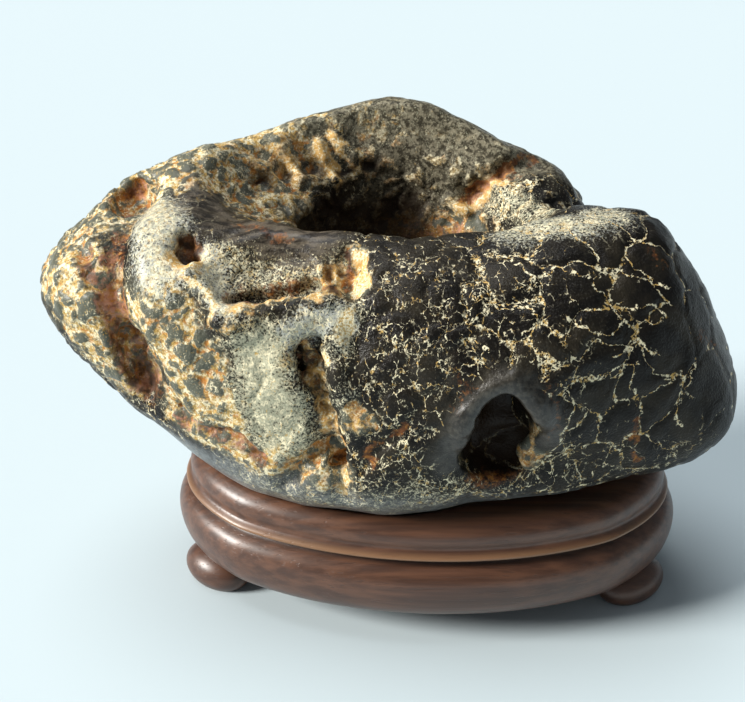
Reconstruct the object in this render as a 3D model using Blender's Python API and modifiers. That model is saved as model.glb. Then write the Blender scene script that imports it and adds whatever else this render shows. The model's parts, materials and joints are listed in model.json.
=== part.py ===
"""Scholar's rock on a carved wooden stand.

The stone is one water-worn piece with a deep basin in its top.  The stand is
carved from one block: an oval moulded body with four lug feet and a seat that
follows the stone's underside.  Lengths are given in millimetres below and
turned to metres once, where the shapes are made.
"""
import math

import bmesh
import bpy
import numpy as np
from mathutils import Matrix, Vector, noise

MM = 0.001

# ---------------------------------------------------------------- dimensions
# The frame of the numbers below: the stand's middle at x = y = 0, the table at
# z = 0, the front of the stone towards -Y.

# Lobes of the stone: centre, radii, turn about Z in degrees.  The lobes of each
# group share one taut skin, which gives the stone its long straight flanks.
BODY_LOBES = (
    ((-4.5, -2.5, 35), (38.5, 25.5, 16), 6),  # broad base
    ((7, -11, 50.5), (35, 19, 20), 0),  # front belly
    ((0, -12, 57), (40, 11, 13), 0),  # near rim of the basin
    ((29, -4, 55), (14.5, 16, 17), 0),  # right shoulder
    ((39.5, -4, 40.5), (13.5, 18, 14), 0),  # right tip
    ((-50, 1, 58), (15.5, 16, 12), 0),  # left tip
    ((-40, -8, 59), (14, 13, 12.5), 0),  # left boss
    ((-44, -2, 45), (12, 14, 12), 0),  # left flank
)
RIDGE_LOBES = (
    ((-44.5, 8, 62.5), (15, 13, 12), 0),  # left end
    ((-6, 23, 60.5), (22, 16, 21), 0),  # crest
    ((16, 20, 55.5), (14, 15, 17), 0),  # right end
    ((-6, 14, 42), (36, 22, 16), 0),  # foot of the back
)
LOBE_VOXEL = 1.5
LOBE_SMOOTHING = 10

# Hollows cut from the stone: centre, radii, turn about Z in degrees.
HOLLOWS = {
    "basin_dish": ((-6, 5, 80), (35, 18, 17), 0),
    "basin_bowl": ((-4, 6, 66), (19, 15, 26), 0),
    "front_cave": ((10.6, -27, 46), (5.3, 9, 8), 0),
    "fissure_head": ((-18.6, -25, 56), (3, 5, 4.5), 0),
    "fissure_tail": ((-16.6, -26.5, 48.5), (2.1, 4, 7), 0),
    "chipped_face": ((-26, -30.2, 82.6), (24, 22, 22), 0),
    "rim_notch": ((-13.5, -19, 69), (3.2, 6, 4.5), 0),
    "gully_pit": ((-47.5, -18.5, 51), (3.2, 5, 6.5), 0),
    "gully_head": ((-50.5, 5, 72), (4, 4.5, 4), 0),
    "boss_pit": ((-38.2, -13.5, 71), (3, 3.2, 4), 0),
    "back_hollow": ((-24, 42, 52), (9, 8, 11), 20),
    "back_chip": ((12, 45, 58), (12, 10, 10), -15),
    "back_pit": ((-6, 41, 38), (4, 6, 5), 0),
    "right_pit": ((53, 6, 47), (5, 4, 5), 0),
}

# Worn valleys and swellings: the points of a line on the surface, how far the
# move reaches from it, and how deep it goes (a negative depth swells).
VALLEYS = {
    "left_gully": (((-48, 4, 71), (-50, -11, 68), (-50, -16, 62), (-49, -18, 55), (-44, -18, 46)), 6, 2.0),
    "back_notch": (((21, 20, 73), (15, 17, 71), (12, 17, 69), (8, 17, 65)), 4, 2.6),
    "step_by_notch": (((-13, -20, 66), (-13, -25, 59)), 4, 1.4),
    "slanting_crack": (((-16, -27, 45), (-21, -26, 38), (-24, -25, 33)), 3, 1.5),
    "hanging_crack": (((-16, -27, 42), (-14, -26, 32)), 3, 1.6),
    "under_cave": (((4, -29, 40), (12, -28, 36), (24, -26, 37)), 6, 1.2),
    "boss_swelling": (((-44, -8, 71), (-40, -6, 71)), 9, -1.8),
    "chip_ledge": (((-31, -23, 60), (-22, -23, 63), (-14, -22, 66)), 4, -1.3),
    "chip_edge": (((-37, -17, 68), (-31, -23, 61)), 3, -1.0),
    "back_furrow": (((-36, 26, 66), (-30, 34, 54), (-14, 37, 40), (-4, 30, 28)), 6, 1.8),
    "back_crack": (((2, 36, 74), (6, 38, 62), (2, 38, 50)), 4, 1.6),
    "left_back_furrow": (((-58, 10, 60), (-48, 18, 46), (-36, 20, 34)), 6, 1.6),
    "right_end_crack": (((44, 8, 62), (52, -4, 48), (48, -12, 34)), 4, 1.3),
    "cave_lip": (((4, -30, 48), (10, -30, 56), (17, -29, 48)), 3.5, -1.0),
    "shoulder_swelling": (((27, -8, 71), (33, -6, 68)), 10, -0.6),
}

# Lumps all over: size of a lump, its height, and the seed that places them.
LUMPS = ((15.0, 1.1, 3.0), (7.0, 0.5, 11.0))
STONE_VOXEL = 1.2
STONE_SMOOTHING = 5
STONE_TRIANGLES = 5900

# The stand's oval, and its moulding from the underside up to the seat's rim:
# (inset from the widest outline, height).
STAND_LENGTH = 92.0
STAND_DEPTH = 55.0
MOULDING = (
    (6.0, 5.6), (3.4, 5.6), (2.2, 6.2), (1.0, 8.0), (0.25, 10.5),
    (0.0, 13.0), (0.4, 14.8), (1.3, 16.2), (2.5, 17.1), (2.3, 18.0),
    (2.7, 18.9), (2.4, 20.0), (2.8, 21.6), (3.8, 23.0), (5.2, 24.0), (7.0, 24.6),
)
STAND_SEGMENTS = 64
SEAT_GAP = 0.3

# The four lug feet.
FOOT_AT = (37.9, 9.8)
FOOT_RADII = (7.0, 4.8, 4.1)
FOOT_CENTRE_HEIGHT = 2.4
FOOT_TURN = 37.0

# Edges sharper than this stay crisp in the shading, in degrees.
SHARP_ANGLE = 40.0


# -------------------------------------------------------------------- helpers
def clear_scene():
    for obj in list(bpy.data.objects):
        bpy.data.objects.remove(obj, do_unlink=True)


def make_collection(name):
    group = bpy.data.collections.new(name)
    bpy.context.scene.collection.children.link(group)
    return group


def make_material(name, colour, roughness):
    material = bpy.data.materials.new(name)
    material.use_nodes = True
    shader = material.node_tree.nodes["Principled BSDF"]
    shader.inputs["Base Color"].default_value = (*colour, 1.0)
    shader.inputs["Roughness"].default_value = roughness
    shader.inputs["Metallic"].default_value = 0.0
    return material


def object_from(name, mesh, group):
    obj = bpy.data.objects.new(name, mesh)
    group.objects.link(obj)
    return obj


def ellipsoids(name, shapes, group, divisions=4):
    """One object that holds a ball for each (centre, radii, turn)."""
    bm = bmesh.new()
    for centre, radii, turn in shapes:
        place = (
            Matrix.Translation(Vector(centre) * MM)
            @ Matrix.Rotation(math.radians(turn), 4, "Z")
            @ Matrix.Diagonal((*[r * MM for r in radii], 1.0))
        )
        bmesh.ops.create_icosphere(bm, subdivisions=divisions, radius=1.0, matrix=place)
    mesh = bpy.data.meshes.new(name)
    bm.to_mesh(mesh)
    bm.free()
    return object_from(name, mesh, group)


def taut_skin(name, shapes, group):
    """The convex skin round a group of balls."""
    obj = ellipsoids(name, shapes, group, divisions=3)
    bm = bmesh.new()
    bm.from_mesh(obj.data)
    hull = bmesh.ops.convex_hull(bm, input=bm.verts[:])
    inside = [item for item in hull["geom_interior"] if isinstance(item, bmesh.types.BMVert)]
    bmesh.ops.delete(bm, geom=inside, context="VERTS")
    on_hull = set(hull["geom"])
    loose = [face for face in bm.faces if face not in on_hull]
    bmesh.ops.delete(bm, geom=loose, context="FACES_ONLY")
    bmesh.ops.recalc_face_normals(bm, faces=bm.faces[:])
    bm.to_mesh(obj.data)
    bm.free()
    return obj


def apply_modifiers(obj):
    """Turn the object's modifiers into its own mesh."""
    bpy.context.view_layer.update()
    graph = bpy.context.evaluated_depsgraph_get()
    mesh = bpy.data.meshes.new_from_object(obj.evaluated_get(graph))
    obj.modifiers.clear()
    obj.data = mesh


def remesh(obj, voxel, smoothing):
    skin = obj.modifiers.new("skin", "REMESH")
    skin.mode = "VOXEL"
    skin.voxel_size = voxel * MM
    soft = obj.modifiers.new("soft", "SMOOTH")
    soft.factor = 0.5
    soft.iterations = smoothing
    apply_modifiers(obj)


def boolean(obj, other, operation):
    cut = obj.modifiers.new("cut", "BOOLEAN")
    cut.operation = operation
    cut.solver = "EXACT"
    cut.object = other
    apply_modifiers(obj)


def hide_cutter(obj):
    obj.hide_render = True
    obj.display_type = "WIRE"


def reduce_to(obj, triangles):
    obj.data.calc_loop_triangles()
    thin = obj.modifiers.new("thin", "DECIMATE")
    thin.ratio = triangles / len(obj.data.loop_triangles)
    apply_modifiers(obj)


# ---------------------------------------------------------------------- stone
def build_stone(parts, cutters):
    stone = taut_skin("rock", BODY_LOBES, parts)
    ridge = taut_skin("ridge", RIDGE_LOBES, cutters)
    boolean(stone, ridge, "UNION")
    hide_cutter(ridge)
    remesh(stone, LOBE_VOXEL, LOBE_SMOOTHING)
    for name, hollow in HOLLOWS.items():
        cutter = ellipsoids(name, (hollow,), cutters)
        hide_cutter(cutter)
        boolean(stone, cutter, "DIFFERENCE")
    remesh(stone, STONE_VOXEL, STONE_SMOOTHING)
    wear_surface(stone)
    reduce_to(stone, STONE_TRIANGLES)
    return stone


def distance_to_line(points, line):
    """How far each point lies from a line of straight stretches."""
    nearest = np.full(len(points), np.inf)
    for start, end in zip(line[:-1], line[1:]):
        start, end = np.array(start, float), np.array(end, float)
        along = end - start
        share = np.clip((points - start) @ along / (along @ along), 0, 1)
        foot = start + share[:, None] * along
        nearest = np.minimum(nearest, np.linalg.norm(points - foot, axis=1))
    return nearest


def wear_surface(stone):
    """Press in the valleys, raise the swellings and spread the lumps."""
    count = len(stone.data.vertices)
    points = np.empty(count * 3)
    stone.data.vertices.foreach_get("co", points)
    points = points.reshape(-1, 3) / MM
    normals = np.empty(count * 3)
    stone.data.vertex_normals.foreach_get("vector", normals)
    normals = normals.reshape(-1, 3)
    depth = np.zeros(count)
    for line, reach, deepest in VALLEYS.values():
        share = np.clip(distance_to_line(points, line) / reach, 0, 1)
        depth += deepest * (1 - share**2) ** 2
    for size, height, seed in LUMPS:
        shift = Vector((seed, seed, seed))
        depth -= [height * noise.noise(Vector(p) / size + shift) for p in points]
    points -= normals * depth[:, None]
    stone.data.vertices.foreach_set("co", (points * MM).ravel())
    stone.data.update()


# ---------------------------------------------------------------------- stand
def oval_point(angle, inset, height):
    """A point on the stand's oval, moved inwards along its normal."""
    long_radius = STAND_LENGTH / 2
    short_radius = STAND_DEPTH / 2
    normal = Vector((math.cos(angle) / long_radius, math.sin(angle) / short_radius, 0)).normalized()
    point = Vector((long_radius * math.cos(angle), short_radius * math.sin(angle), height))
    return (point - normal * inset) * MM


def build_stand_body(parts):
    """The oval rises from its underside, one moulding line after another."""
    bm = bmesh.new()
    bmesh.ops.create_circle(bm, cap_ends=True, segments=STAND_SEGMENTS, radius=1.0)
    ring = bm.edges[:]
    angle_of = {vert: math.atan2(vert.co.y, vert.co.x) for vert in bm.verts}
    for vert, angle in angle_of.items():
        vert.co = oval_point(angle, *MOULDING[0])
    for inset, height in MOULDING[1:]:
        raised = bmesh.ops.extrude_edge_only(bm, edges=ring)["geom"]
        ring = [item for item in raised if isinstance(item, bmesh.types.BMEdge)]
        ring_verts = {vert for edge in ring for vert in edge.verts}
        above = {}
        for vert in ring_verts:
            below = next(e.other_vert(vert) for e in vert.link_edges if e.other_vert(vert) in angle_of)
            above[vert] = angle_of[below]
            vert.co = oval_point(above[vert], inset, height)
        angle_of = above
    bmesh.ops.contextual_create(bm, geom=ring)
    bmesh.ops.recalc_face_normals(bm, faces=bm.faces[:])
    mesh = bpy.data.meshes.new("stand")
    bm.to_mesh(mesh)
    bm.free()
    return object_from("stand", mesh, parts)


def build_stand(parts, cutters, stone):
    stand = build_stand_body(parts)
    for side_x in (-1, 1):
        for side_y in (-1, 1):
            centre = (side_x * FOOT_AT[0], side_y * FOOT_AT[1], FOOT_CENTRE_HEIGHT)
            turn = -side_x * side_y * FOOT_TURN
            foot = ellipsoids("foot", ((centre, FOOT_RADII, turn),), cutters, divisions=3)
            cut_flat_at_table(foot)
            boolean(stand, foot, "UNION")
            bpy.data.objects.remove(foot)
    seat = object_from("seat", stone.data.copy(), cutters)
    grown = seat.modifiers.new("grown", "DISPLACE")
    grown.strength = SEAT_GAP * MM
    grown.mid_level = 0.0
    apply_modifiers(seat)
    hide_cutter(seat)
    boolean(stand, seat, "DIFFERENCE")
    return stand


def cut_flat_at_table(obj):
    bm = bmesh.new()
    bm.from_mesh(obj.data)
    geometry = bm.verts[:] + bm.edges[:] + bm.faces[:]
    cut = bmesh.ops.bisect_plane(
        bm, geom=geometry, plane_co=(0, 0, 0), plane_no=(0, 0, -1), clear_outer=True
    )
    rim = [item for item in cut["geom_cut"] if isinstance(item, bmesh.types.BMEdge)]
    bmesh.ops.contextual_create(bm, geom=rim)
    bmesh.ops.recalc_face_normals(bm, faces=bm.faces[:])
    bm.to_mesh(obj.data)
    bm.free()


def centre_on_origin(objects):
    """Move the meshes so that the whole object's box stands centred at z = 0."""
    corners = np.array([v.co for obj in objects for v in obj.data.vertices])
    low, high = corners.min(axis=0), corners.max(axis=0)
    move = Vector((-(low[0] + high[0]) / 2, -(low[1] + high[1]) / 2, -low[2]))
    for obj in objects:
        obj.data.transform(Matrix.Translation(move))


def main():
    clear_scene()
    parts = make_collection("scholars_rock")
    cutters = make_collection("cutters")
    stone = build_stone(parts, cutters)
    stand = build_stand(parts, cutters, stone)
    stone.data.materials.clear()
    stone.data.materials.append(make_material("dark_stone", (0.055, 0.055, 0.045), 0.38))
    stand.data.materials.clear()
    stand.data.materials.append(make_material("hardwood", (0.16, 0.07, 0.04), 0.4))
    for obj in (stone, stand):
        obj.data.shade_smooth()
        obj.data.set_sharp_from_angle(angle=math.radians(SHARP_ANGLE))
    centre_on_origin((stone, stand))


main()
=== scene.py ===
# %% [markdown]
# # A scholar's rock on its carved stand
#
# A scholar's rock is a water-worn stone that is kept for its shape.  This one is
# dark and polished, with a deep basin in its top, and a net of pale gold mineral
# runs all over it.  It sits in an oval hardwood stand that was carved to fit it.
#
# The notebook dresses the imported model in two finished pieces, the stone and the
# stand, and then sets a plain table, soft light and a camera.

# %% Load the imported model
import json
import math

import bpy
import numpy as np
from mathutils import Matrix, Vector, kdtree, noise
from mathutils.bvhtree import BVHTree

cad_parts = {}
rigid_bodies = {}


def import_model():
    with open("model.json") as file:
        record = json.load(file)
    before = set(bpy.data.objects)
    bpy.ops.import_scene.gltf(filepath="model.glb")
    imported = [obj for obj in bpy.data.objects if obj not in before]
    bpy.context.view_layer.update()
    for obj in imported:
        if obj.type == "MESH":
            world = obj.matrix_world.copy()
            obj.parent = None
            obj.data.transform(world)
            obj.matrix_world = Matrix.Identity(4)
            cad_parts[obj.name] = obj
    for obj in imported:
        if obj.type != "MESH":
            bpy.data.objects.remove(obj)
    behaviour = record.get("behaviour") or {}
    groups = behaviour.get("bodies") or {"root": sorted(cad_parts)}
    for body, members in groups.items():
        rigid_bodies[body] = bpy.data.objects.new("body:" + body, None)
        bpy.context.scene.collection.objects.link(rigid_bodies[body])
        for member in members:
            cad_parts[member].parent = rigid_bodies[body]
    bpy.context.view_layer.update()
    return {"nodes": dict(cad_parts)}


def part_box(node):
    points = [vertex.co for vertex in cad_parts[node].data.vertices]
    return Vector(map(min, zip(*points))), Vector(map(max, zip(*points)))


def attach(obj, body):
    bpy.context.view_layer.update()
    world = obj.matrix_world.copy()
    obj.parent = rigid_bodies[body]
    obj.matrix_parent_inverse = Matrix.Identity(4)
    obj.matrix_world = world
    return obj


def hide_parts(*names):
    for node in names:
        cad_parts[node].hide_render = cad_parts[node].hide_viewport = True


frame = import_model()
MM = 0.001

# %% [markdown]
# All places below are given in millimetres from the middle of the stand's foot
# print, with the front of the stone towards -Y.  That is how a carver would mark
# out the block, and it keeps every number readable.

# %% Where the stand is
stand_low, stand_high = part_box("stand")
MIDDLE = Vector(((stand_low.x + stand_high.x) / 2, (stand_low.y + stand_high.y) / 2, 0.0))


def place(x, y, z):
    """A point in millimetres from the stand's middle, as a place in the scene."""
    return MIDDLE + Vector((x, y, z)) * MM


print("stand's middle:", tuple(round(c / MM, 2) for c in MIDDLE), "mm")

# %% [markdown]
# ## Camera
#
# A small object is looked at from close by and from above, about as a person who
# leans over a desk does.  The camera is tilted down by 30 degrees and stands
# 21 cm away, so the near rim looks large and the far side small.

# %% Camera
CAMERA_AT = (-9.75, -181.1, 148.3)
CAMERA_TILT = 60.0
CAMERA_LENS = 57.99

camera_data = bpy.data.cameras.new("camera")
camera_data.lens = CAMERA_LENS
camera_data.sensor_width = 36.0
camera_data.clip_start = 0.01
camera = bpy.data.objects.new("camera", camera_data)
camera.location = place(*CAMERA_AT)
camera.rotation_euler = (math.radians(CAMERA_TILT), 0.0, 0.0)
bpy.context.scene.collection.objects.link(camera)
bpy.context.scene.camera = camera
print("camera at", [round(c, 3) for c in camera.location])

# %% [markdown]
# ## Working helpers
#
# An operator acts on everything that is selected, so each piece is picked on its
# own first.  Modifiers are applied as soon as they are set, as when a sculptor
# settles one step before the next.

# %% Picking one piece and applying its modifiers
def pick(piece):
    bpy.ops.object.select_all(action="DESELECT")
    piece.select_set(True)
    bpy.context.view_layer.objects.active = piece


def settle(piece):
    """Apply every modifier of a piece, in order."""
    pick(piece)
    for modifier in list(piece.modifiers):
        bpy.ops.object.modifier_apply(modifier=modifier.name)


def copy_of(node, name):
    """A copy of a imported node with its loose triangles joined."""
    piece = bpy.data.objects.new(name, frame["nodes"][node].data.copy())
    bpy.context.scene.collection.objects.link(piece)
    pick(piece)
    bpy.ops.object.mode_set(mode="EDIT")
    bpy.ops.mesh.select_all(action="SELECT")
    bpy.ops.mesh.remove_doubles(threshold=0.00001)
    bpy.ops.object.mode_set(mode="OBJECT")
    piece.data.materials.clear()
    return piece


def smooth(piece, rounds):
    soft = piece.modifiers.new("soft", "SMOOTH")
    soft.factor = 0.5
    soft.iterations = rounds
    settle(piece)


# %% [markdown]
# ## The stone's skin
#
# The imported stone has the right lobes, basin, cave and cracks, in a few thousand
# flat faces.  Where crystals grew out over a crack or an edge, small balls are
# joined to it, and an egg deepens the cave.  A voxel remesh then lays an even,
# fine skin over it all, and a few rounds of smoothing melt the balls in and take
# the flat faces away, as the river did.

# %% A fine, even skin
SKIN = 0.60
CAVE_EGG = ((10.2, -25.5, 40.2), (6.4, 6.5, 5.6))


def lay_skin(piece):
    skin = piece.modifiers.new("skin", "REMESH")
    skin.mode = "VOXEL"
    skin.voxel_size = SKIN * MM
    settle(piece)


def new_ball(middle, segments, rings, radius=1.0):
    """A ball around a place in millimetres, with its radius in metres."""
    bpy.ops.object.select_all(action="DESELECT")
    bpy.ops.mesh.primitive_uv_sphere_add(
        segments=segments, ring_count=rings, radius=radius, location=place(*middle)
    )
    return bpy.context.object


def combine(piece, operation, tool):
    """Join a tool to a piece, or cut it out of the piece, and put it away."""
    both = piece.modifiers.new("both", "BOOLEAN")
    both.operation = operation
    both.solver = "EXACT"
    both.object = tool
    settle(piece)
    bpy.data.objects.remove(tool)


def scoop(piece, middle, radii):
    """Cut an egg-shaped hollow out of a piece."""
    egg = new_ball(middle, 48, 24)
    egg.scale = Vector(radii) * MM
    combine(piece, "DIFFERENCE", egg)


def join_ball(piece, middle, radius):
    """Join a ball to a piece; the next skin melts the two into one."""
    new_ball(middle, 20, 12, radius * MM)
    piece.select_set(True)
    bpy.context.view_layer.objects.active = piece
    bpy.ops.object.join()


GROWN_LUMPS = (
    (-17.6, -20.6, 56.2, 1.2), (-16.6, -21.6, 54.4, 1.4), (-18.0, -22.4, 52.6, 1.1),
    (-16.6, -23.0, 51.6, 1.2), (-17.8, -23.4, 50.0, 1.0), (-16.8, -23.6, 48.6, 1.1),
    (-17.8, -23.8, 47.0, 0.9), (-16.8, -24.0, 45.2, 1.0), (-17.5, -16.0, 68.0, 1.0),
    (-17.4, -17.2, 66.7, 1.0), (-17.5, -18.4, 65.8, 1.1), (-17.5, -19.4, 65.0, 1.1),
    (-15.1, -15.0, 67.6, 1.0), (-15.0, -16.2, 66.2, 1.1), (-15.0, -17.4, 65.4, 1.1),
    (-15.0, -18.6, 64.4, 1.2), (-22.0, -23.2, 57.6, 0.8), (-22.1, -23.4, 54.6, 0.9),
    (-19.6, -22.8, 52.8, 1.0), (-19.0, -21.6, 57.8, 1.0), (14.6, -24.8, 40.6, 1.8),
    (15.6, -25.2, 42.6, 1.4), (14.6, -25.2, 38.4, 1.6),
)

stone = copy_of("rock", "weathered_stone")
scoop(stone, *CAVE_EGG)
for *middle, radius in GROWN_LUMPS:
    join_ball(stone, middle, radius)
lay_skin(stone)
smooth(stone, rounds=8)
print("stone:", len(stone.data.vertices), "points")

# %% [markdown]
# The finer wear is pressed in with code, because a river's work is many small
# moves and no single tool.  Each field below is one number for each point of the
# skin: lumps are soft noise, cells are the rounded nodules with narrow valleys
# between them, and a ramp turns a number softly on and off.

# %% Fields over the skin
def points_of(piece):
    """Each point of a piece, in millimetres from the stand's middle."""
    flat = np.empty(len(piece.data.vertices) * 3)
    piece.data.vertices.foreach_get("co", flat)
    return (flat.reshape(-1, 3) - np.array(MIDDLE)) / MM


def normals_of(piece):
    flat = np.empty(len(piece.data.vertices) * 3)
    piece.data.vertex_normals.foreach_get("vector", flat)
    return flat.reshape(-1, 3)


def lumps(points, size, seed):
    """Soft noise from -1 to 1, in lumps of the given size."""
    shift = Vector((seed, seed * 1.7, -seed))
    return np.array([noise.noise(Vector(p) + shift) for p in points / size])


def borders(points, size, seed):
    """Rounded cells of the given size: how many millimetres each point is from
    the line between its cell and the next."""
    shift = Vector((seed, -seed, seed * 1.3))
    gap = np.empty(len(points))
    for number, point in enumerate(points / size):
        away, middles = noise.voronoi(Vector(point) + shift)
        gap[number] = (away[1] ** 2 - away[0] ** 2) / (2 * (middles[1] - middles[0]).length)
    return gap * size


def ramp(value, start, end):
    """0 before start, 1 after end, and a soft step between them."""
    share = np.clip((value - start) / (end - start), 0, 1)
    return share * share * (3 - 2 * share)


def fall(value, start, end):
    """1 before start and 0 after end."""
    return 1 - ramp(value, start, end)


def strayed(points, size, amount, seed):
    """The same points, each led astray by up to an amount, for ragged edges."""
    stray = [lumps(points, size, seed + shift) for shift in (0.0, 11.0, 23.0)]
    return points + amount * np.stack(stray, axis=1)


def press(piece, depth):
    """Move each point inwards along its normal, by millimetres."""
    moved = points_of(piece) - normals_of(piece) * depth[:, None]
    piece.data.vertices.foreach_set("co", (moved * MM + np.array(MIDDLE)).ravel())
    piece.data.update()


# %% [markdown]
# These are the stone's own marks, each a line along its surface.  The wear and
# the colours both follow them, so that rust lies in the pits it came from.

# %% The stone's marks
MARKS = dict(
    fissure=((-20.5, -22, 57.5), (-19, -22.5, 54), (-17.5, -24, 51.5), (-16.5, -24.5, 48),
        (-16.5, -25, 43)),
    fissure_mouth=((-20.8, -22, 57), (-20.4, -22.4, 54)),
    fissure_nicks=((-22.6, -22.4, 56.2), (-19.2, -22.2, 55.6), (-21.2, -22.6, 53), (-17, -23.2, 53.2),
        (-19, -23.6, 50.6), (-15.8, -24.6, 50.2), (-17.6, -24.8, 47.4), (-15.2, -25.4, 46.6)),
    fissure_wall=((-16.5, -24, 57), (-14.5, -26, 52), (-14, -26.5, 46)),
    small_hole=((-15.3, -26, 39.7), (-15.2, -26, 38.7)),
    gold_split=((-16.5, -25, 41), (-20.5, -25, 37.5), (-24, -24, 33)),
    gold_hang=((-16, -25, 41), (-15, -26, 38), (-14.5, -26, 33)),
    red_crack=((-5, -29, 47), (-8, -29, 44), (-10, -29, 41.5), (-11, -29, 38.5)),
    gold_patch=((-12.5, -28, 48.5), (-11, -28, 47.5)),
    corner=((-13.1, -22.4, 63.5), (-14.2, -23, 61.4), (-14.9, -23.8, 59.5), (-15.3, -23.9, 56.7),
        (-14.8, -24.9, 53.8), (-14, -26.4, 50.8)),
    step=((-22, -23, 60.5), (-17.5, -23, 62.3), (-14.5, -22.5, 62.5)),
    ledge=((-32.5, -22, 61.5), (-28.2, -21.8, 62.8), (-22.3, -20.5, 64), (-16.2, -20.2, 65.2)),
    ledge_pits=((-30.2, -18.9, 64.2), (-25.1, -18.2, 64.6), (-20, -18.6, 65.2), (-18.5, -18.8, 65.5)),
    chip_edge=((-37, -15, 68.5), (-36.6, -17.9, 67.4), (-34.6, -19.4, 65.6), (-33, -21.0, 63.9)),
    chip_face=((-32, -14, 67), (-27, -14.5, 66.5), (-21, -15.5, 66.5), (-17, -15.5, 67)),
    rim_slope=((-37, 0, 72), (-31, -5, 71), (-26, -8, 70), (-20, -10, 70)),
    rim_streak=((-31, -6.5, 71), (-27, -9, 70.5), (-22.5, -11.5, 70)),
    rim_notch=((-17.2, -17.2, 67.3), (-13, -15.6, 66.6)),
    notch_line=((-16.2, -15, 68.8), (-16, -17.5, 67), (-16, -20.3, 65.4)),
    notch_slot=((-13.8, -13.4, 68.4), (-13.8, -16, 66.5), (-13.8, -18.1, 64.3)),
    notch_rib=((-15, -14.3, 68.2), (-14.8, -19, 64.8)),
    notch_side=((-12, -13.7, 68.6), (-11.9, -18.3, 65.1)),
    near_rim=((-8, -13, 70), (0, -13, 70.5), (8, -12.5, 70.5), (14, -11.5, 71)),
    boss=((-44, -4, 72.5), (-43, -10, 71.5), (-42, -15, 67)),
    boss_pit=((-39, -10.4, 70.4), (-38.1, -11.1, 69.4), (-38.9, -12, 68.1), (-37.8, -12.8, 67.4)),
    boss_floor=((-39, -9.8, 69.4), (-38.1, -10.5, 68.4), (-38.9, -11.4, 67.1), (-37.8, -12.2, 66.4)),
    boss_gold=((-39.5, -13.5, 68), (-37.5, -15.5, 67.5)),
    under_pit=((-37.5, -16.5, 68), (-36.5, -18, 66.5)),
    gully_head=((-50.5, 8.5, 69.5), (-49.5, 5, 69)),
    gully_top=((-50.5, -6, 68), (-51, -10, 66), (-51, -13, 62.5)),
    gully_mid=((-51, -13, 62.5), (-50, -14.5, 58), (-49.5, -14, 55)),
    gully_pit=((-49, -14, 53), (-48, -14, 49), (-47, -14.5, 45.5)),
    flank=((-43, -18, 61), (-38, -21.5, 53), (-34, -23, 46)),
    flank_pit=((-41, -19, 43), (-40.5, -19.5, 42)),
    low_pits=((-37, -21, 41), (-31.5, -23.5, 41), (-28, -24, 38)),
    low_left=((-40, -19, 44), (-33, -23, 39), (-26, -25, 37), (-18, -26, 37)),
    far_pit=((-56, -7.5, 66.5), (-54, -11.5, 63.5)),
    far_lobe=((-59, -2, 64), (-58, -9, 62), (-54, -14, 57), (-50, -15, 50)),
    facet=((-27, -24, 57), (-26, -25, 50), (-24, -25.5, 44)),
    cave_floor=((7.5, -26, 35.2), (10.5, -25.5, 34.6), (13, -25.5, 35.2)),
    cave_foot=((8, -24, 36), (12, -23, 36)),
    cave_gold=((15.5, -25, 43.5), (14.8, -25.2, 38.5)),
    cave_peak=((12.6, -19.5, 46), (14, -21, 44.7), (15, -23.5, 43.8)),
    cave_lip=((2, -30, 39), (3.5, -30, 44), (6, -30.5, 51), (10.5, -30.5, 55.5),
        (15.5, -30, 50), (17.5, -29.5, 43)),
    chip_silver=((-35.6, -13.3, 68.6), (-33.8, -17.2, 66.3), (-31.6, -20.7, 63.8)),
    stain_one=((16.6, -28.8, 55.8), (17.7, -28.9, 52.9), (18.2, -29.2, 50), (17.9, -27.8, 44.4)),
    stain_two=((42, -15.6, 55.7), (45.3, -13.9, 52.4)),
    stain_three=((33.7, -11.6, 68.3), (35.3, -12.4, 67)),
    stain_four=((2.5, -28.3, 56), (4.8, -28.8, 54.6), (2.7, -29.2, 50.4)),
    rust_streak=((31.5, -24.5, 45), (32.5, -23, 37)),
    back_notch=((19.5, 22, 71.5), (15.5, 18.5, 70.5), (12.5, 18, 68.5), (9, 19, 66), (7, 19, 64)),
    notch_gold=((13, 16, 68.5), (9.5, 17.5, 65.5), (6.5, 18, 62.5)),
    right_top=((12, -9, 71), (18, -8, 71.5), (23, -8, 71.5), (28, -5, 72)),
    flute_one=((-31, 15.2, 73.3), (-29, 15, 71.4), (-26.8, 13.8, 69.5)),
    flute_two=((-26.6, 18.3, 74.8), (-24.4, 17.5, 71.9), (-22.2, 16, 69)),
    flute_three=((-19.2, 20.2, 73.6), (-17.6, 18.6, 70.8), (-16.2, 17.3, 68.3)),
    flute_four=((-16.6, 21.5, 75), (-15.2, 20.8, 72.9), (-13.5, 20, 71)),
    flute_five=((-12.4, 21, 72), (-12.8, 19.6, 69.4)),
    flute_gaps=((-30, 12, 69.8), (-25.6, 15.5, 70.4), (-20.8, 17.5, 70.2), (-10, 20.5, 70)),
    wall_lumps=((-24, 16, 71), (-14, 20, 71), (-4, 22, 72), (6, 20, 71)),
    wall_right=((12, 14, 66), (15, 10, 67), (19, 4, 69)),
    deep_gold=((-4.5, 20, 57), (2, 19, 57), (7, 16, 59)),
    honeycomb=((-29.8, -21.8, 32.1), (-21.6, -23.8, 29.8), (-11.8, -26.8, 31.1), (-0.5, -26.2, 31.3)),
)


def along(points, mark, reach):
    """1 on a mark, falling to 0 at its reach."""
    nearest = np.full(len(points), np.inf)
    line = np.array(MARKS[mark], float)
    for start, end in zip(line[:-1], line[1:]):
        run = end - start
        share = np.clip((points - start) @ run / (run @ run), 0, 1)
        nearest = np.minimum(nearest, np.linalg.norm(points - start - share[:, None] * run, axis=1))
    return 1 - np.clip(nearest / reach, 0, 1) ** 2


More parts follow.
